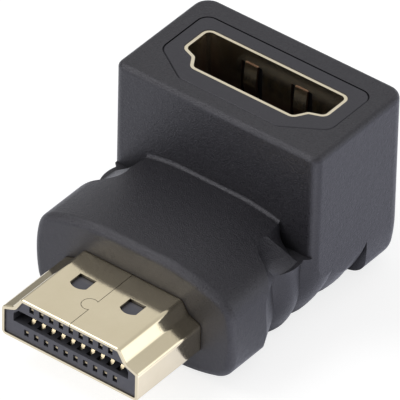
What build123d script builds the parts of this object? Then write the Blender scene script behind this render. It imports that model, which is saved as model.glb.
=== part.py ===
from build123d import *
from math import sqrt
import os

os.makedirs("parts", exist_ok=True)

# A right-angle adapter: a plug that points to -Y and a socket that opens upward.
# All lengths are in millimetres. The origin is on the surface the adapter rests on,
# in its mirror plane, half way between the plug's tip and the back wall.

# Outer body
overall_length = 30.4
overall_height = 17.3
plug_reach = 8.1
block_depth = 11.9
block_half_width = 10.27
arm_half_width = 10.2
arm_height = 10.0
plug_axis_height = 4.85
roof_land = 2.5
floor_land = 4.0
floor_drop = 1.15
roof_drop = 1.75
side_bulge = 0.5
lower_corner_radius = 2.2
block_front_radius = 0.8
block_back_radius = 1.5
block_top_radius = 0.5
arm_front_radius = 0.7
joint_radius = 0.3

# Grip recess with upright ribs, on both sides
grip_start = 12.4
start_sweep = 2.0
grip_margin = 0.03
first_valley = 14.95
valley_depth = 1.2
valley_level = 1.6
rib_count = 4
rib_pitch = 3.1
last_rib = 1.45
rib_height = 0.42
side_lean = 0.4
lean_start = 17.1
lean_end = 20.9
foot_rise = 4.0
foot_inset = 1.5
foot_sweep = 0.4
foot_ease = 0.055

# Waist of the arm in front of the block, above the ribs: how far it is in from the arm's side
# and in front of the block at its foot, and how far each point moves in and forward by its top
waist_drop = 2.75
waist_front = (1.1, 3.7)
waist_middle = (0.85, 2.5)
waist_rear = (0.9, 0.95)
waist_root = 3.4
front_rise = (0.8, 1.5)
middle_rise = (2.85, 1.5)
rear_rise = (3.05, 1.4)
root_rise = 0.05

# Section that the plug and the socket share, with its narrow side up
section_half_width = 6.95
section_half_height = 2.225
shoulder_height = 0.6
ledge_half_width = 5.7
ledge_height = 1.08
narrow_half_width = 5.0
section_corner_radius = 0.45
ledge_radius = 0.6

# Folded sheets
sheet = 0.3
mating_clearance = 0.05
fit_clearance = 0.03
plug_shell_length = 12.6
latch_offset = 2.53
window_width = 1.65
window_start = 3.9
window_shoulder = 4.25
window_end = 5.6
seam_width = 0.05
seam_lock_radius = 0.7
seam_lock_offset = 0.35
seam_lock_place = 3.0

# Plug insulator
insulator_setback = 0.15
insulator_length = 11.85
slot_half_width = 5.83
slot_bottom = -0.47
slot_top = 0.79
slot_bevel = 0.5
slot_depth = 7.6
hole_width = 0.45
hole_height = 0.6
hole_to_slot = 0.66
bridge = 0.37

# Contacts
contact_count = 19
contact_pitch = 0.5
contact_width = 0.35
contact_thickness = 0.2
contact_setback = 0.15
bump_place = 1.25
bump_ramp = 0.42
bump_rise = 0.12
bump_end = 6.8
tail_length = 1.7

# Circuit board
board_thickness = 1.0
board_rise = -0.35
board_front = 13.0
board_nose_half_width = 6.9
board_half_width = 7.9
board_step = 22.6
board_back = 27.3
board_corner_radius = 0.5

# Socket
socket_setback = 6.03
rim_recess = 0.05
lip_radius = 0.12
tongue_recess = 3.2
tongue_clearance = 0.13
tongue_side_clearance = 0.33
socket_base_height = 2.75
tongue_bevel = 0.2
foot_room = 0.55
foot_end = 1.85
foot_pocket_margin = 0.2
contact_sink = 0.1
socket_contact_recess = 0.5
leg_width = 1.6
leg_shift = 0.7
leg_length = 1.5
leg_clearance = 0.05
finger_width = 1.25
finger_slit = 0.45
finger_recess = 1.3
finger_length = 5.2
finger_bend = 0.33
finger_tip = 1.9
finger_flare = 0.1

# Inner moulding round the board, with its end showing round the socket
frame_half_width = 8.6
frame_back = 2.1
frame_shoulder = 8.0
frame_front = 10.3
frame_front_half_width = 5.0
frame_corner_radius = 1.1
frame_foot = 3.5
groove_width = 0.15
core_half_width = 7.4
core_front = 10.6
core_back = 27.0
core_bottom = 1.9
core_top = 6.5
core_ridge_half_width = 5.9
core_ridge_back = 16.0
core_ridge_top = 7.8
tail_pocket_margin = 0.5
tail_pocket_height = 3.8

# Places that follow from the sizes
tip = -overall_length / 2
back = overall_length / 2
arm_front = tip + plug_reach
block_front = back - block_depth
socket_y = back - socket_setback
board_bottom = plug_axis_height + board_rise
board_top = board_bottom + board_thickness
socket_stand = overall_height - board_top
socket_base_depth = socket_stand - socket_base_height
lower_hole = slot_bottom - hole_to_slot
upper_hole = slot_top + hole_to_slot
tongue_low = slot_bottom + tongue_clearance
tongue_high = slot_top - tongue_clearance
socket_inner_grow = mating_clearance
socket_outer_grow = mating_clearance + sheet
socket_wall = section_half_height + socket_inner_grow + sheet / 2
socket_side_wall = section_half_width + socket_inner_grow + sheet / 2
leg_places = [(side * socket_side_wall, socket_y + leg_shift) for side in (-1, 1)]
tongue_half_width = slot_half_width - tongue_side_clearance
channel_reach = hole_to_slot - hole_height / 2
tail_pocket_end = board_front + tail_length + fit_clearance
contact_row_half_width = (contact_count - 1) / 2 * contact_pitch + contact_width / 2
tail_pocket_half_width = contact_row_half_width + tail_pocket_margin
foot_pocket_half_width = contact_row_half_width + foot_pocket_margin
finger_top = overall_height - finger_recess
valley_half_width = arm_half_width - valley_depth
rib_starts = [first_valley + rib * rib_pitch for rib in range(rib_count)]
waist_foot = arm_height - waist_drop
grip_levels = [-grip_margin, 0.08, 0.19, 0.32, 0.5, 1 + fit_clearance / waist_foot]
waist_levels = [0, 1 / 3, 2 / 3, 1 + grip_margin]


def plug_plane(distance):
    """Section plane of the plug at a distance behind its tip, facing forward."""
    return Plane(origin=(0, tip + distance, plug_axis_height), x_dir=(1, 0, 0), z_dir=(0, -1, 0))


def socket_plane(depth):
    """Section plane of the socket at a depth below the top face, narrow side forward."""
    return Plane(origin=(0, socket_y, overall_height - depth), x_dir=(1, 0, 0), z_dir=(0, 0, -1))


def contact_x(number):
    """Place of a contact across the connector; odd and even ones alternate between the rows."""
    return ((contact_count + 1) / 2 - number) * contact_pitch


def in_wide_row(number):
    return number % 2 == 1


def connector_section(grow):
    """D-shaped section of the connector, grown outward by a distance."""
    half = [
        (section_half_width, -section_half_height),
        (section_half_width, shoulder_height),
        (ledge_half_width, ledge_height),
        (narrow_half_width, section_half_height),
    ]
    outline = half + [(-x, y) for x, y in reversed(half)]
    radii = [section_corner_radius, section_corner_radius, ledge_radius, section_corner_radius]
    with BuildSketch(mode=Mode.PRIVATE) as section:
        with BuildLine():
            FilletPolyline(*outline, radius=radii + radii[::-1], close=True)
        make_face()
        if grow:
            offset(amount=grow)
    return section.sketch


def frame_section():
    """Outline of the inner moulding's end round the socket, in the socket's plane."""
    half = [
        (frame_half_width, frame_back - socket_setback),
        (frame_half_width, frame_shoulder - socket_setback),
        (frame_front_half_width, frame_front - socket_setback),
    ]
    outline = half + [(-x, y) for x, y in reversed(half)]
    with BuildSketch(mode=Mode.PRIVATE) as section:
        with BuildLine():
            FilletPolyline(*outline, radius=frame_corner_radius, close=True)
        make_face()
    return section.sketch


def board_outline():
    """The board seen from above: a narrow nose under the plug and a wide part under the socket."""
    nose = tip + board_front
    step = tip + board_step
    end = tip + board_back
    half = [
        (board_nose_half_width, nose),
        (board_nose_half_width, step),
        (board_half_width, step),
        (board_half_width, end),
    ]
    outline = half + [(-x, y) for x, y in reversed(half)]
    with BuildSketch(mode=Mode.PRIVATE) as section:
        with BuildLine():
            FilletPolyline(*outline, radius=board_corner_radius, close=True)
        make_face()
    return section.sketch


def leg_slots(mode=Mode.ADD):
    """Slots that the socket's legs pass through, seen from above."""
    with Locations(*leg_places):
        Rectangle(sheet + 2 * leg_clearance, leg_width + 2 * leg_clearance, mode=mode)


def contact_places(wide, narrow):
    """Place of every contact in a connector's section, with the two rows at their own heights."""
    return [(contact_x(n), wide if in_wide_row(n) else narrow) for n in range(1, contact_count + 1)]


def slot_section():
    """The plug's slot, with its two upper corners bevelled."""
    half = [
        (slot_half_width, slot_bottom),
        (slot_half_width, slot_top - slot_bevel),
        (slot_half_width - slot_bevel, slot_top),
    ]
    with BuildSketch(mode=Mode.PRIVATE) as section:
        with BuildLine():
            Polyline(*half, *[(-x, y) for x, y in reversed(half)], close=True)
        make_face()
    return section.sketch


def latch_window():
    """A latch window seen from above, with its origin at the plug's tip: square behind, round in front."""
    side = window_width / 2
    with BuildSketch(mode=Mode.PRIVATE) as window:
        with BuildLine():
            Polyline(
                (-side, window_shoulder),
                (-side, window_end),
                (side, window_end),
                (side, window_shoulder),
            )
            ThreePointArc((side, window_shoulder), (0, window_start), (-side, window_shoulder))
        make_face()
    return window.sketch


def seam_path():
    """The seam seen from above: a straight slit with a round lock that hooks to one side."""
    lock_y = tip + seam_lock_place
    reach = sqrt(seam_lock_radius**2 - seam_lock_offset**2)
    front = seam_lock_place - reach
    rear = plug_shell_length - seam_lock_place - reach
    with BuildSketch(mode=Mode.PRIVATE) as path:
        with Locations((-seam_lock_offset, lock_y)):
            Circle(seam_lock_radius + seam_width / 2)
            Circle(seam_lock_radius - seam_width / 2, mode=Mode.SUBTRACT)
        with Locations((seam_width / 2 + seam_lock_radius, lock_y)):
            Rectangle(2 * seam_lock_radius, 4 * seam_lock_radius, mode=Mode.SUBTRACT)
        with Locations((0, lock_y - reach)):
            Rectangle(seam_width, front + seam_width, align=(Align.CENTER, Align.MAX))
        with Locations((0, lock_y + reach)):
            Rectangle(seam_width, rear + seam_width, align=(Align.CENTER, Align.MIN))
    return path.sketch


def strip_section(points, thickness=contact_thickness):
    """Section of a bent strip that follows a centre line, with mitred bends."""
    path = [Vector(*point) for point in points]
    runs = [(after - before).normalized() for before, after in zip(path, path[1:])]
    sides = [Vector(-run.Y, run.X) for run in runs]
    arriving = sides[:1] + sides
    leaving = sides + sides[-1:]
    shift = [(a + b) * (thickness / 2 / (1 + a.dot(b))) for a, b in zip(arriving, leaving)]
    upper = [point + step for point, step in zip(path, shift)]
    lower = [point - step for point, step in zip(path, shift)]
    with BuildSketch(mode=Mode.PRIVATE) as section:
        with BuildLine():
            Polyline(*upper, *reversed(lower), close=True)
        make_face()
    return section.sketch


def plug_contact_path(number):
    """Centre line of a plug contact, as places along the plug and heights."""
    wide = in_wide_row(number)
    inward = 1 if wide else -1
    hole = plug_axis_height + (lower_hole if wide else upper_hole)
    slot = plug_axis_height + (slot_bottom if wide else slot_top)
    crest = slot + inward * (bump_rise - contact_thickness / 2)
    tail = (board_bottom if wide else board_top) - inward * contact_thickness / 2
    start = insulator_setback + contact_setback
    leave = insulator_setback + insulator_length + bump_ramp / 2
    places = [
        (start, hole),
        (bump_place - bump_ramp, hole),
        (bump_place, crest),
        (bump_end, hole),
        (leave, hole),
        (board_front, tail),
        (board_front + tail_length, tail),
    ]
    return [(tip + along, height) for along, height in places]


def socket_contact_path(number):
    """Centre line of a socket contact: down the tongue, through the base and out on the board."""
    wide = in_wide_row(number)
    outward = 1 if wide else -1
    face = socket_y - (tongue_low if wide else tongue_high)
    down = face - outward * contact_sink
    foot = board_top + contact_thickness / 2
    top = overall_height - tongue_recess - socket_contact_recess
    return [(down, top), (down, foot), (socket_y + outward * foot_end, foot)]


def finger_path(outward):
    """Centre line of a latch finger, from its root in the wall to its free end near the rim."""
    wall = socket_y + outward * socket_wall
    root = finger_top - finger_length
    places = [
        (wall, root - finger_slit),
        (wall, root + finger_length / 3),
        (wall - outward * finger_bend, finger_top - finger_tip),
        (wall - outward * finger_flare, finger_top),
    ]
    return places


# Body profiles
def lower_outline(half_width):
    """Foot of the body's section from one widest point, under the body, to the other."""
    corner = half_width - side_bulge
    widest = arm_height / 2
    Line((-floor_land, 0), (floor_land, 0))
    TangentArc((floor_land, 0), (corner, floor_drop), tangent=(1, 0))
    TangentArc((half_width, widest), (corner, floor_drop), tangent=(0, -1))
    TangentArc((-floor_land, 0), (-corner, floor_drop), tangent=(-1, 0))
    TangentArc((-half_width, widest), (-corner, floor_drop), tangent=(0, -1))


def upper_outline(half_width):
    """Crowned roof of the arm's section."""
    corner = half_width - side_bulge
    widest = arm_height / 2
    roof = arm_height - roof_drop
    Line((-roof_land, arm_height), (roof_land, arm_height))
    TangentArc((roof_land, arm_height), (corner, roof), tangent=(1, 0))
    TangentArc((half_width, widest), (corner, roof), tangent=(0, 1))
    TangentArc((-roof_land, arm_height), (-corner, roof), tangent=(-1, 0))
    TangentArc((-half_width, widest), (-corner, roof), tangent=(0, 1))


def corners_of(sketch, half_width):
    """Sharp corners of a body section, where the crowned faces meet the sides."""
    corner = half_width - side_bulge
    return [v for v in sketch.vertices() if abs(abs(v.X) - corner) < fit_clearance]


# Grip recess
def lean_at(distance):
    """How far the recess floor leans outward per unit of height, at a distance behind the tip."""
    share = (distance - lean_start) / (lean_end - lean_start)
    return side_lean * min(1, max(0, share))


def floor_at(distance, height):
    """Point of the recess floor, in plan, at a distance behind the tip and a height."""
    foot = max(0, (foot_rise - height) / foot_rise)
    lean = lean_at(distance) * (height - valley_level)
    inset = (foot_inset - foot_ease * (distance - first_valley)) * foot**2
    return Vector(valley_half_width + lean - inset, tip + distance + foot_sweep * foot)


def open_recess(start, end):
    """Outer sides of a recess's plan, clear of the body, from its start round to its end."""
    clear = 2 * block_half_width
    Polyline(end, (clear, end.Y), (clear, start.Y), start)


def grip_outline(height):
    """Plan of the recess at one height: a tapered start, then rib after rib, then an end wall."""
    foot = max(0, (foot_rise - height) / foot_rise)
    start = Vector(arm_half_width + grip_margin, tip + grip_start - start_sweep * foot**2)
    floor = [floor_at(valley, height) for valley in rib_starts + [rib_starts[-1] + last_rib]]
    Line(start, floor[0])
    for near, far in zip(floor, floor[1:]):
        swell = rib_height * (far.Y - near.Y) / rib_pitch
        ThreePointArc(near, (near + far) / 2 + Vector(swell, 0), far)
    open_recess(start, floor[-1])


def waist_point(foot, rise, share):
    """Point of the waist's plan, a share of the way from its foot to the arm's roof."""
    return Vector(arm_half_width - foot[0] - rise[0] * share, block_front - foot[1] - rise[1] * share)


def waist_outline(share):
    """Plan of the waist, a share of the way from its foot to the arm's roof."""
    start = Vector(arm_half_width + grip_margin, tip + grip_start)
    front = waist_point(waist_front, front_rise, share)
    rear = waist_point(waist_rear, rear_rise, share)
    root = Vector(arm_half_width - waist_root - root_rise * share, block_front)
    behind = Vector(root.X, block_front + 3 * block_front_radius)
    Line(start, front)
    ThreePointArc(front, waist_point(waist_middle, middle_rise, share), rear)
    Polyline(rear, root, behind)
    open_recess(start, behind)


def joint_edges(edges):
    """Edges where the arm's roof runs into the front of the block, between the two waists."""
    joint = edges.filter_by_position(Axis.Y, block_front - fit_clearance, block_front + fit_clearance)
    joint = joint.filter_by_position(Axis.Z, waist_foot + waist_drop / 2, arm_height + fit_clearance)
    return joint.filter_by(lambda edge: edge.length > joint_radius and abs(edge.tangent_at(0.5).Z) < 0.5)


with BuildPart() as grip_recess:
    for share in grip_levels:
        with BuildSketch(Plane.XY.offset(share * waist_foot)):
            with BuildLine():
                grip_outline(share * waist_foot)
            make_face()
    loft()
    mirror(about=Plane.YZ)

with BuildPart() as waist:
    for share in waist_levels:
        with BuildSketch(Plane.XY.offset(waist_foot + share * waist_drop)):
            with BuildLine():
                waist_outline(share)
            make_face()
    loft(ruled=True)
    mirror(about=Plane.YZ)

# Inner moulding, as a solid form that the housing is moulded round
with BuildPart() as inner_form:
    with BuildSketch(socket_plane(0)):
        add(frame_section())
    extrude(amount=overall_height - frame_foot)
    with BuildSketch(Plane.XY.offset(core_bottom)):
        with Locations((0, tip + (core_front + core_back) / 2)):
            RectangleRounded(2 * core_half_width, core_back - core_front, frame_corner_radius)
    extrude(amount=core_top - core_bottom)
    with BuildSketch(Plane.XY.offset(core_bottom)):
        with Locations((0, tip + (core_front + core_ridge_back) / 2)):
            Rectangle(2 * core_ridge_half_width, core_ridge_back - core_front)
    extrude(amount=core_ridge_top - core_bottom)

# Block of the housing, round the socket
with BuildPart() as block:
    with BuildSketch(Plane.XZ.offset(-block_front)) as block_section:
        with BuildLine():
            lower_outline(block_half_width)
            Polyline(
                (-block_half_width, arm_height / 2),
                (-block_half_width, overall_height),
                (block_half_width, overall_height),
                (block_half_width, arm_height / 2),
            )
        make_face()
        fillet(corners_of(block_section, block_half_width), lower_corner_radius)
    extrude(amount=-block_depth)
    ends = block.edges().group_by(Axis.Y)
    fillet(ends[0] - ends[0].group_by(Axis.Z)[-1], block_front_radius)
    ends = block.edges().group_by(Axis.Y)
    fillet(ends[-1] - ends[-1].group_by(Axis.Z)[-1], block_back_radius)
    fillet(block.faces().sort_by(Axis.Z)[-1].edges(), block_top_radius)

# Housing: the arm with its waist, then the block and the recesses
with BuildPart() as housing:
    with BuildSketch(Plane.XZ.offset(-arm_front)) as arm_section:
        with BuildLine():
            lower_outline(arm_half_width)
            upper_outline(arm_half_width)
        make_face()
        fillet(corners_of(arm_section, arm_half_width), lower_corner_radius)
    extrude(amount=-(block_front - arm_front + 2 * block_front_radius))
    fillet(housing.edges().group_by(Axis.Y)[0], arm_front_radius)
    add(waist.part, mode=Mode.SUBTRACT)
    add(block.part)
    fillet(joint_edges(housing.edges()), joint_radius)
    add(grip_recess.part, mode=Mode.SUBTRACT)
    add(inner_form.part, mode=Mode.SUBTRACT)
    with BuildSketch(plug_plane(0)):
        add(connector_section(0))
    extrude(amount=-plug_shell_length, mode=Mode.SUBTRACT)

housing.part.label = "housing"
export_step(housing.part, "parts/housing.step")

# Inner moulding, which grips the plug's shell, the board and the socket's shell
with BuildPart() as inner_mould:
    add(inner_form.part)
    chamfer(inner_mould.faces().sort_by(Axis.Z)[-1].edges(), groove_width)
    with BuildSketch(plug_plane(0)):
        add(connector_section(0))
    extrude(amount=-plug_shell_length, mode=Mode.SUBTRACT)
    with BuildSketch(plug_plane(plug_shell_length)):
        Rectangle(2 * tail_pocket_half_width, tail_pocket_height)
    extrude(amount=plug_shell_length - tail_pocket_end, mode=Mode.SUBTRACT)
    with BuildSketch(Plane.XY.offset(board_bottom)):
        add(board_outline())
    extrude(amount=board_thickness, mode=Mode.SUBTRACT)
    with BuildSketch(socket_plane(0)):
        add(connector_section(socket_outer_grow))
    extrude(amount=socket_stand, mode=Mode.SUBTRACT)
    with BuildSketch(Plane.XY.offset(board_bottom)):
        leg_slots()
    extrude(amount=board_thickness - leg_length - leg_clearance, mode=Mode.SUBTRACT)

inner_mould.part.label = "inner_mould"
export_step(inner_mould.part, "parts/inner_mould.step")

# Plug shell: one folded sheet with its seam on the narrow side
with BuildPart() as plug_shell:
    with BuildSketch(plug_plane(0)):
        add(connector_section(0))
        add(connector_section(-sheet), mode=Mode.SUBTRACT)
    extrude(amount=-plug_shell_length)
    fillet(plug_shell.faces().sort_by(Axis.Y)[0].outer_wire().edges(), lip_radius)
    with BuildSketch(Plane.XY.offset(plug_axis_height)):
        with Locations((-latch_offset, tip), (latch_offset, tip)):
            add(latch_window())
    extrude(amount=section_half_height + fit_clearance, both=True, mode=Mode.SUBTRACT)
    with BuildSketch(Plane.XY.offset(plug_axis_height)):
        add(seam_path())
    extrude(amount=section_half_height + fit_clearance, mode=Mode.SUBTRACT)

plug_shell.part.label = "plug_shell"
export_step(plug_shell.part, "parts/plug_shell.step")

# Plug insulator, with a hole and an open channel for each contact
with BuildPart() as plug_insulator:
    with BuildSketch(plug_plane(insulator_setback)):
        add(connector_section(-sheet))
    extrude(amount=-insulator_length)
    with BuildSketch(plug_plane(insulator_setback)):
        add(slot_section())
    extrude(amount=-slot_depth, mode=Mode.SUBTRACT)
    with BuildSketch(plug_plane(insulator_setback)):
        with Locations(*contact_places(lower_hole, upper_hole)):
            Rectangle(hole_width, hole_height)
    extrude(amount=-insulator_length, mode=Mode.SUBTRACT)
    with BuildSketch(plug_plane(insulator_setback + bridge)):
        with Locations(*contact_places(slot_bottom - channel_reach / 2, slot_top + channel_reach / 2)):
            Rectangle(hole_width, channel_reach)
    extrude(amount=bridge - slot_depth, mode=Mode.SUBTRACT)

plug_insulator.part.label = "plug_insulator"
export_step(plug_insulator.part, "parts/plug_insulator.step")

# Plug contacts: each has a tip in its hole, a bump in the slot and a tail on the board
for number in range(1, contact_count + 1):
    with BuildPart() as plug_contact:
        with BuildSketch(Plane.YZ.offset(contact_x(number) - contact_width / 2)):
            add(strip_section(plug_contact_path(number)))
        extrude(amount=contact_width)
    plug_contact.part.label = f"plug_contact_{number:02d}"
    export_step(plug_contact.part, f"parts/plug_contact_{number:02d}.step")

# Circuit board, with slots for the socket's legs
with BuildPart() as circuit_board:
    with BuildSketch(Plane.XY.offset(board_bottom)):
        add(board_outline())
        leg_slots(mode=Mode.SUBTRACT)
    extrude(amount=board_thickness)

circuit_board.part.label = "circuit_board"
export_step(circuit_board.part, "parts/circuit_board.step")

# Socket shell: one folded sheet with latch fingers on both broad walls and a leg on each side
with BuildPart() as socket_shell:
    with BuildSketch(socket_plane(rim_recess)):
        add(connector_section(socket_outer_grow))
        add(connector_section(socket_inner_grow), mode=Mode.SUBTRACT)
    extrude(amount=socket_stand - rim_recess)
    with BuildSketch(Plane.XZ.offset(-socket_y)):
        with Locations(*[(side * latch_offset, finger_top - finger_length / 2) for side in (-1, 1)]):
            Rectangle(finger_width + 2 * finger_slit, finger_length)
    extrude(amount=2 * section_half_height, both=True, mode=Mode.SUBTRACT)
    for side in (-1, 1):
        with BuildSketch(Plane.YZ.offset(side * latch_offset - finger_width / 2)):
            add(strip_section(finger_path(1), sheet))
            add(strip_section(finger_path(-1), sheet))
        extrude(amount=finger_width)
    with BuildSketch(Plane.XY.offset(board_top)):
        with Locations(*leg_places):
            Rectangle(sheet, leg_width)
    extrude(amount=-leg_length)

socket_shell.part.label = "socket_shell"
export_step(socket_shell.part, "parts/socket_shell.step")

# Socket insulator: a base that stands on the board and a tongue with a groove for each contact
with BuildPart() as socket_insulator:
    with BuildSketch(socket_plane(socket_base_depth)):
        add(connector_section(socket_inner_grow - fit_clearance))
    extrude(amount=socket_stand - socket_base_depth)
    with BuildSketch(socket_plane(tongue_recess)):
        with Locations((0, (tongue_low + tongue_high) / 2)):
            Rectangle(2 * tongue_half_width, tongue_high - tongue_low)
    extrude(amount=socket_base_depth - tongue_recess)
    chamfer(socket_insulator.faces().sort_by(Axis.Z)[-1].edges(), tongue_bevel)
    with BuildSketch(socket_plane(socket_stand)):
        Rectangle(2 * foot_pocket_half_width, 2 * (foot_end + fit_clearance))
    extrude(amount=-foot_room, mode=Mode.SUBTRACT)
    with BuildSketch(socket_plane(tongue_recess + socket_contact_recess - fit_clearance)):
        with Locations(*contact_places(tongue_low + contact_sink, tongue_high - contact_sink)):
            Rectangle(contact_width + 2 * fit_clearance, contact_thickness + 2 * fit_clearance)
    extrude(amount=socket_stand, mode=Mode.SUBTRACT)

socket_insulator.part.label = "socket_insulator"
export_step(socket_insulator.part, "parts/socket_insulator.step")

# Socket contacts: each lies in its groove on the tongue and has a foot on the board
for number in range(1, contact_count + 1):
    with BuildPart() as socket_contact:
        with BuildSketch(Plane.YZ.offset(contact_x(number) - contact_width / 2)):
            add(strip_section(socket_contact_path(number)))
        extrude(amount=contact_width)
    socket_contact.part.label = f"socket_contact_{number:02d}"
    export_step(socket_contact.part, f"parts/socket_contact_{number:02d}.step")
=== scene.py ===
import math

import bpy
from mathutils import Matrix, Vector

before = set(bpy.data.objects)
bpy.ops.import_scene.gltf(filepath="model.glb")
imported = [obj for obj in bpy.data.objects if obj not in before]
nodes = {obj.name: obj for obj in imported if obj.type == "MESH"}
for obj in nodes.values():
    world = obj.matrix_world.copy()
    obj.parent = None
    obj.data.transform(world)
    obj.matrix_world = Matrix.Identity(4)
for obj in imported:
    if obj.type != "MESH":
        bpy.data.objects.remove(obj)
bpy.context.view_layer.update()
scene = bpy.context.scene
scene.view_settings.view_transform = "Standard"

# Lengths are in metres, in the part's own frame: the plug points to -Y, the socket opens to +Z,
# and the mirror plane is X = 0.

# Camera, solved from the plug's standard sizes in the photograph
AZIMUTH = math.radians(37.07)
ELEVATION = math.radians(38.41)
ROLL = math.radians(1.372)
TARGET = Vector((0, -0.0002, 0.00985))
DISTANCE = 0.7217
# The camera's own sideways steps, which put the part where it lies in the picture
MOVED_RIGHT = 0.0010713
MOVED_UP = 0.0004715
SENSOR_WIDTH_MM = 36
LENS_MM = 810
NEAREST, FARTHEST = 0.01, 20

WHITE = (1, 1, 1)

# A noise texture's values are nearly all between these two
NOISE_LOW, NOISE_HIGH = 0.3, 0.7

# Rays per look into a hollow. A hollow has a reach, and the free share of the directions at which
# it is fully shut and fully clear.
HOLLOW_SAMPLES = 12

# Plastic: the painted shade that darkens it in a hollow, how it dulls there, and how its gloss and
# grain vary
PLASTIC_IOR = 1.56
PLASTIC_HOLLOW = {"reach": 0.003, "shut": 0.12, "clear": 0.68}
PLASTIC_PAINTED_HOLLOW_SHADE = (0.004, 0.004, 0.005)
PLASTIC_HOLLOW_ROUGHNESS = 0.85
# Painted shade in grooves: the plastic's shine is dimmed where surfaces close in.
PLASTIC_GROOVE = {"reach": 0.001, "shut": 0.3, "clear": 0.75}
PLASTIC_GROOVE_PAINTED_SHADE = (0.4, 0.4, 0.43)
PLASTIC_SHINE = (0.94, 0.93, 1)
PLASTIC_SMOOTHER, PLASTIC_ROUGHER = 0.09, 0.11
PLASTIC_GRAIN_STRENGTH, PLASTIC_WAVE_STRENGTH = 0.5, 0.15

# Gold plating: patches of tone, shallow waves and a fine grain, each by its noise's scale
GOLD_PATCHES, GOLD_WAVES, GOLD_GRAIN = 260, 900, 9000
GOLD_HOLLOW_ROUGHNESS = 0.5
GOLD_ROUGHNESS_RANGE = 0.06
GOLD_GRAIN_STRENGTH, GOLD_WAVE_STRENGTH = 0.5, 0.3

# Floor: its size, its place just under the part, its colour and its own light
FLOOR_REACH = 1.5
FLOOR_Z = -0.00002
FLOOR_COLOUR = (0.42, 0.42, 0.42)
FLOOR_GLOW = 0.78

# Painted reflections: the floor's glow as the part's surfaces reflect it, with painted light and
# shade zone by zone, and where the zones change
LEFT_AND_MIDDLE = (0.84, 0.86, 0.95)
BESIDE_PLUG = (1.05, 1.08, 1.25)
BESIDE_WAIST = (0.70, 0.72, 0.83)
BESIDE_BLOCK = (0.87, 0.89, 1.06)
PAINTED_LIGHT_POOL = (2.6, 2.64, 2.85)
RIGHT_STARTS = (0.006, 0.010)
PLUG_TO_WAIST = (-0.005, -0.001)
WAIST_TO_BLOCK = (0.002, 0.009)
POOL_MIDDLE = (0.027, -0.011, 0)
POOL_EDGES = (0.0165, 0.005)

# Room: its strength for the camera, for plain light and, by direction, in reflections. The spans
# are those of the direction's X for left to right, and of its Z for low to high.
ROOM_SEEN = 1.0
ROOM_LIGHT = 0.45
ROOM_LOW_LEFT, ROOM_LOW_RIGHT = 0.27, 1.2
ROOM_HIGH_LEFT, ROOM_HIGH_RIGHT = 0.79, 0.68
LOW_SPAN = (-0.8, 0.8)
HIGH_SPAN = (-0.4, 0.1)
LOW_TO_HIGH = (0.1, 0.6)

LAMPS_AIM = Vector((0, 0, 0.008))


def place_camera():
    right = Vector((math.cos(AZIMUTH), math.sin(AZIMUTH), 0))
    back = Vector((
        math.sin(AZIMUTH) * math.cos(ELEVATION),
        -math.cos(AZIMUTH) * math.cos(ELEVATION),
        math.sin(ELEVATION),
    ))
    up = back.cross(right)
    turned_right = right * math.cos(ROLL) + up * math.sin(ROLL)
    turned_up = up * math.cos(ROLL) - right * math.sin(ROLL)
    data = bpy.data.cameras.new("camera")
    data.sensor_width = SENSOR_WIDTH_MM
    data.lens = LENS_MM
    data.clip_start = NEAREST
    data.clip_end = FARTHEST
    camera = bpy.data.objects.new("camera", data)
    scene.collection.objects.link(camera)
    place = TARGET + back * DISTANCE + turned_right * MOVED_RIGHT + turned_up * MOVED_UP
    turn = Matrix((turned_right, turned_up, back)).transposed()
    camera.matrix_world = Matrix.Translation(place) @ turn.to_4x4()
    scene.camera = camera


class Nodes:
    """Short calls for the nodes of one node tree."""

    def __init__(self, tree, coordinate):
        self.tree = tree
        self.place = self.add("ShaderNodeTexCoord").outputs[coordinate]

    def feed(self, socket, value):
        """Puts another node's output, a colour or a number on an input."""
        if isinstance(value, bpy.types.NodeSocket):
            self.tree.links.new(value, socket)
        elif isinstance(value, tuple):
            socket.default_value = (*value, 1)
        else:
            socket.default_value = value

    def add(self, kind, inputs=None, **settings):
        """A new node with its settings and its inputs, which go by name or number."""
        made = self.tree.nodes.new(kind)
        for name, value in settings.items():
            setattr(made, name, value)
        for name, value in (inputs or {}).items():
            self.feed(made.inputs[name], value)
        return made

    def ranged(self, source, span, low=0, high=1):
        """A value that runs from low to high as the source runs over the span."""
        start, end = span
        inputs = {
            "Value": source, "From Min": start, "From Max": end, "To Min": low, "To Max": high,
        }
        return self.add("ShaderNodeMapRange", inputs).outputs["Result"]

    def mixed(self, factor, low, high):
        """A colour that runs from low to high as the factor runs from 0 to 1."""
        made = self.add("ShaderNodeMix", {"Factor": factor}, data_type="RGBA")
        colours = [socket for socket in made.inputs if socket.type == "RGBA"]
        for socket, value in zip(colours, (low, high)):
            self.feed(socket, value)
        return next(socket for socket in made.outputs if socket.type == "RGBA")

    def combined(self, operation, first, second):
        """The result of a Math node."""
        inputs = {0: first, 1: second}
        return self.add("ShaderNodeMath", inputs, operation=operation).outputs["Value"]

    def axes(self):
        """The place's X, Y and Z."""
        return self.add("ShaderNodeSeparateXYZ", {"Vector": self.place}).outputs


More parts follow.
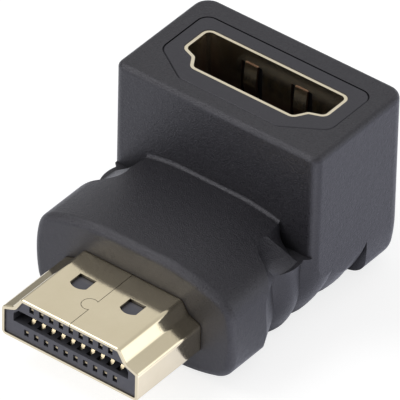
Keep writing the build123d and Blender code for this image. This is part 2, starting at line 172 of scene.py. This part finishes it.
class Shader(Nodes):
    """A new material, with short calls for the nodes that drive its Principled BSDF."""

    def __init__(self, name):
        self.material = bpy.data.materials.new(name)
        self.material.use_nodes = True
        super().__init__(self.material.node_tree, "Object")
        self.surface = self.tree.nodes["Principled BSDF"]

    def set(self, name, value):
        self.feed(self.surface.inputs[name], value)

    def noise(self, scale, detail, roughness=0.5):
        inputs = {
            "Vector": self.place, "Scale": scale, "Detail": detail, "Roughness": roughness,
        }
        return self.add("ShaderNodeTexNoise", inputs).outputs["Fac"]

    def scaled(self, noise, low, high):
        """A value that runs from low to high with a noise."""
        return self.ranged(noise, (NOISE_LOW, NOISE_HIGH), low, high)

    def blend(self, noise, low, high):
        """A colour that runs from low to high with a noise."""
        made = self.add("ShaderNodeValToRGB", {"Fac": noise})
        stops = zip(made.color_ramp.elements, (NOISE_LOW, NOISE_HIGH), (low, high))
        for stop, position, colour in stops:
            stop.position = position
            stop.color = (*colour, 1)
        return made.outputs["Color"]

    def open_to_light(self, reach, shut, clear):
        """0 in a hollow and 1 on an open face: the share of directions that are free of surfaces
        within reach, as it runs from shut to clear."""
        free = self.add("ShaderNodeAmbientOcclusion", {"Distance": reach}, samples=HOLLOW_SAMPLES)
        return self.ranged(free.outputs["AO"], (shut, clear))

    def eased(self, factor, low, high):
        """A value that runs from low to high as the factor runs from 0 to 1."""
        inputs = {"Factor": factor, "A": low, "B": high}
        return self.add("ShaderNodeMix", inputs).outputs["Result"]

    def bump(self, height, strength, depth, under=None):
        """The normal over a relief, which lies on top of the one under it."""
        inputs = {"Height": height, "Strength": strength, "Distance": depth}
        if under is not None:
            inputs["Normal"] = under
        return self.add("ShaderNodeBump", inputs).outputs["Normal"]


def plastic(name, low, high, rough, grain, depth):
    """Moulded plastic from its darker and lighter colour, with a grain of noise scale grain, and
    with painted shade that darkens its colour in hollows and its shine in grooves.
    """
    made = Shader(name)
    fine = made.noise(grain, detail=2, roughness=0.6)
    light = made.open_to_light(**PLASTIC_HOLLOW)
    # Painted shade: the colour darkens in hollows, creases and joints.
    made.set("Base Color", made.mixed(light, PLASTIC_PAINTED_HOLLOW_SHADE, made.blend(fine, low, high)))
    patches = made.noise(grain / 2, detail=3, roughness=0.7)
    gloss = made.scaled(patches, rough - PLASTIC_SMOOTHER, rough + PLASTIC_ROUGHER)
    made.set("Roughness", made.eased(light, PLASTIC_HOLLOW_ROUGHNESS, gloss))
    waves = made.noise(grain / 5, detail=2)
    wave = made.bump(waves, PLASTIC_WAVE_STRENGTH, depth * 2)
    made.set("Normal", made.bump(fine, PLASTIC_GRAIN_STRENGTH, depth, wave))
    made.set("IOR", PLASTIC_IOR)
    groove = made.open_to_light(**PLASTIC_GROOVE)
    # Painted shade: the shine dims in grooves.
    made.set("Specular Tint", made.mixed(groove, PLASTIC_GROOVE_PAINTED_SHADE, PLASTIC_SHINE))
    return made.material


def gold(name, low, high, rough, depth, hollow, painted_hollow_shade):
    """Gold plating from its darker and lighter colour, and the painted shade that darkens it in a
    hollow.
    """
    made = Shader(name)
    patches = made.noise(GOLD_PATCHES, detail=3, roughness=0.6)
    light = made.open_to_light(**hollow)
    # Painted shade: the colour darkens in hollows, slots and joints.
    made.set("Base Color", made.mixed(light, painted_hollow_shade, made.blend(patches, low, high)))
    fine = made.noise(GOLD_GRAIN, detail=2, roughness=0.6)
    gloss = made.scaled(fine, rough - GOLD_ROUGHNESS_RANGE, rough + GOLD_ROUGHNESS_RANGE)
    made.set("Roughness", made.eased(light, GOLD_HOLLOW_ROUGHNESS, gloss))
    wave = made.bump(made.noise(GOLD_WAVES, detail=3), GOLD_WAVE_STRENGTH, depth)
    made.set("Normal", made.bump(fine, GOLD_GRAIN_STRENGTH, depth / 3, wave))
    made.set("Metallic", 1)
    return made.material


def dress():
    """Gives every solid its material. The nodes that looks doesn't name are contacts."""
    looks = {
        "housing": plastic(
            "housing_plastic", (0.007, 0.006, 0.010), (0.041, 0.040, 0.045),
            rough=0.35, grain=9000, depth=0.00009,
        ),
        "inner_mould": plastic(
            "inner_plastic", (0.023, 0.022, 0.028), (0.032, 0.031, 0.037),
            rough=0.36, grain=7000, depth=0.00003,
        ),
        "plug_insulator": plastic(
            "plug_insulator_plastic", (0.095, 0.095, 0.113), (0.112, 0.112, 0.13),
            rough=0.5, grain=5000, depth=0.000008,
        ),
        "socket_insulator": plastic(
            "socket_insulator_plastic", (0.014, 0.012, 0.012), (0.020, 0.018, 0.017),
            rough=0.5, grain=5000, depth=0.000008,
        ),
        "circuit_board": plastic(
            "board", (0.02, 0.10, 0.04), (0.03, 0.14, 0.05),
            rough=0.32, grain=3000, depth=0.000005,
        ),
        "plug_shell": gold(
            "gold_sheet", (0.75, 0.66, 0.47), (0.79, 0.70, 0.51), rough=0.11, depth=0.000003,
            hollow={"reach": 0.00026, "shut": 0.5, "clear": 0.88},
            # Painted shade where the shell meets the housing and in its narrow gaps.
            painted_hollow_shade=(0.06, 0.04, 0.025),
        ),
        "socket_shell": gold(
            "socket_gold_sheet", (0.80, 0.72, 0.54), (0.86, 0.78, 0.60), rough=0.2, depth=0.000003,
            hollow={"reach": 0.003, "shut": 0.5, "clear": 0.8},
            # Painted shade inside the socket.
            painted_hollow_shade=(0.19, 0.115, 0.09),
        ),
    }
    contact_look = gold(
        "contact_gold", (0.68, 0.57, 0.38), (0.75, 0.64, 0.44), rough=0.4, depth=0.000002,
        hollow={"reach": 0.0005, "shut": 0.35, "clear": 0.95},
        # Painted shade deep in the contact slots.
        painted_hollow_shade=(0.06, 0.05, 0.04),
    )
    for name, node in nodes.items():
        node.data.materials.clear()
        node.data.materials.append(looks.get(name, contact_look))


def painted_floor_reflection(made):
    """The floor's painted light and shade, seen only in reflections: on the right it is bright
    beside the plug, dim beside the waist and middling beside the block, and a bright painted pool
    of light lies in front of the block's right edge. Everywhere else it is even."""
    x, y, _ = made.axes()
    beside_arm = made.mixed(made.ranged(y, PLUG_TO_WAIST), BESIDE_PLUG, BESIDE_WAIST)
    beside = made.mixed(made.ranged(y, WAIST_TO_BLOCK), beside_arm, BESIDE_BLOCK)
    around = made.mixed(made.ranged(x, RIGHT_STARTS), LEFT_AND_MIDDLE, beside)
    away = made.add("ShaderNodeVectorMath", {0: made.place}, operation="DISTANCE")
    away.inputs[1].default_value = POOL_MIDDLE
    return made.mixed(made.ranged(away.outputs["Value"], POOL_EDGES), around, PAINTED_LIGHT_POOL)


def stage_floor():
    """A pale floor that takes the part's shadow, and glows white for the camera and with painted
    light and shade in reflections.
    """
    mesh = bpy.data.meshes.new("floor")
    corners = [
        (x * FLOOR_REACH, y * FLOOR_REACH, FLOOR_Z) for x, y in ((-1, -1), (1, -1), (1, 1), (-1, 1))
    ]
    mesh.from_pydata(corners, [], [(0, 1, 2, 3)])
    floor = bpy.data.objects.new("floor", mesh)
    scene.collection.objects.link(floor)
    material = bpy.data.materials.new("floor")
    material.use_nodes = True
    made = Nodes(material.node_tree, "Object")
    made.tree.nodes.remove(made.tree.nodes["Principled BSDF"])
    path = made.add("ShaderNodeLightPath").outputs
    seen = made.combined("MAXIMUM", path["Is Camera Ray"], path["Is Glossy Ray"])
    diffuse = made.add("ShaderNodeBsdfDiffuse", {"Color": FLOOR_COLOUR})
    glow = made.add("ShaderNodeEmission", {
        "Color": made.mixed(path["Is Glossy Ray"], WHITE, painted_floor_reflection(made)),
        "Strength": made.combined("MULTIPLY", seen, FLOOR_GLOW),
    })
    parts = {0: diffuse.outputs["BSDF"], 1: glow.outputs["Emission"]}
    both = made.add("ShaderNodeAddShader", parts).outputs["Shader"]
    made.feed(made.tree.nodes["Material Output"].inputs["Surface"], both)
    mesh.materials.append(material)


def light_room():
    """Even light for the surfaces, white for the camera, and for reflections a room that is
    bright low on the right, dim low on the left and middling overhead."""
    world = bpy.data.worlds.new("world")
    scene.world = world
    world.use_nodes = True
    made = Nodes(world.node_tree, "Generated")
    x, _, z = made.axes()
    low = made.ranged(x, LOW_SPAN, ROOM_LOW_LEFT, ROOM_LOW_RIGHT)
    high = made.ranged(x, HIGH_SPAN, ROOM_HIGH_LEFT, ROOM_HIGH_RIGHT)
    reflected = made.ranged(z, LOW_TO_HIGH, low, high)
    path = made.add("ShaderNodeLightPath").outputs
    unseen = made.ranged(path["Is Glossy Ray"], (0, 1), ROOM_LIGHT, reflected)
    sky = made.tree.nodes["Background"]
    made.feed(sky.inputs["Color"], WHITE)
    made.feed(sky.inputs["Strength"], made.ranged(path["Is Camera Ray"], (0, 1), unseen, ROOM_SEEN))


def lamp(name, place, size, power, colour=WHITE):
    """A square lamp that is turned to the part."""
    data = bpy.data.lights.new(name, "AREA")
    data.shape = "SQUARE"
    data.size = size
    data.energy = power
    data.color = colour
    made = bpy.data.objects.new(name, data)
    scene.collection.objects.link(made)
    turn = (LAMPS_AIM - Vector(place)).to_track_quat("-Z", "Y")
    made.matrix_world = Matrix.Translation(place) @ turn.to_matrix().to_4x4()


place_camera()
dress()
stage_floor()
light_room()
lamp("front", (-0.17, -0.28, 0.14), size=0.16, power=0.26)
lamp("top", (-0.16, -0.06, 0.29), size=0.16, power=0.21)
lamp("right", (0.25, 0.20, 0.08), size=0.2, power=0.07, colour=(0.84, 0.90, 1))
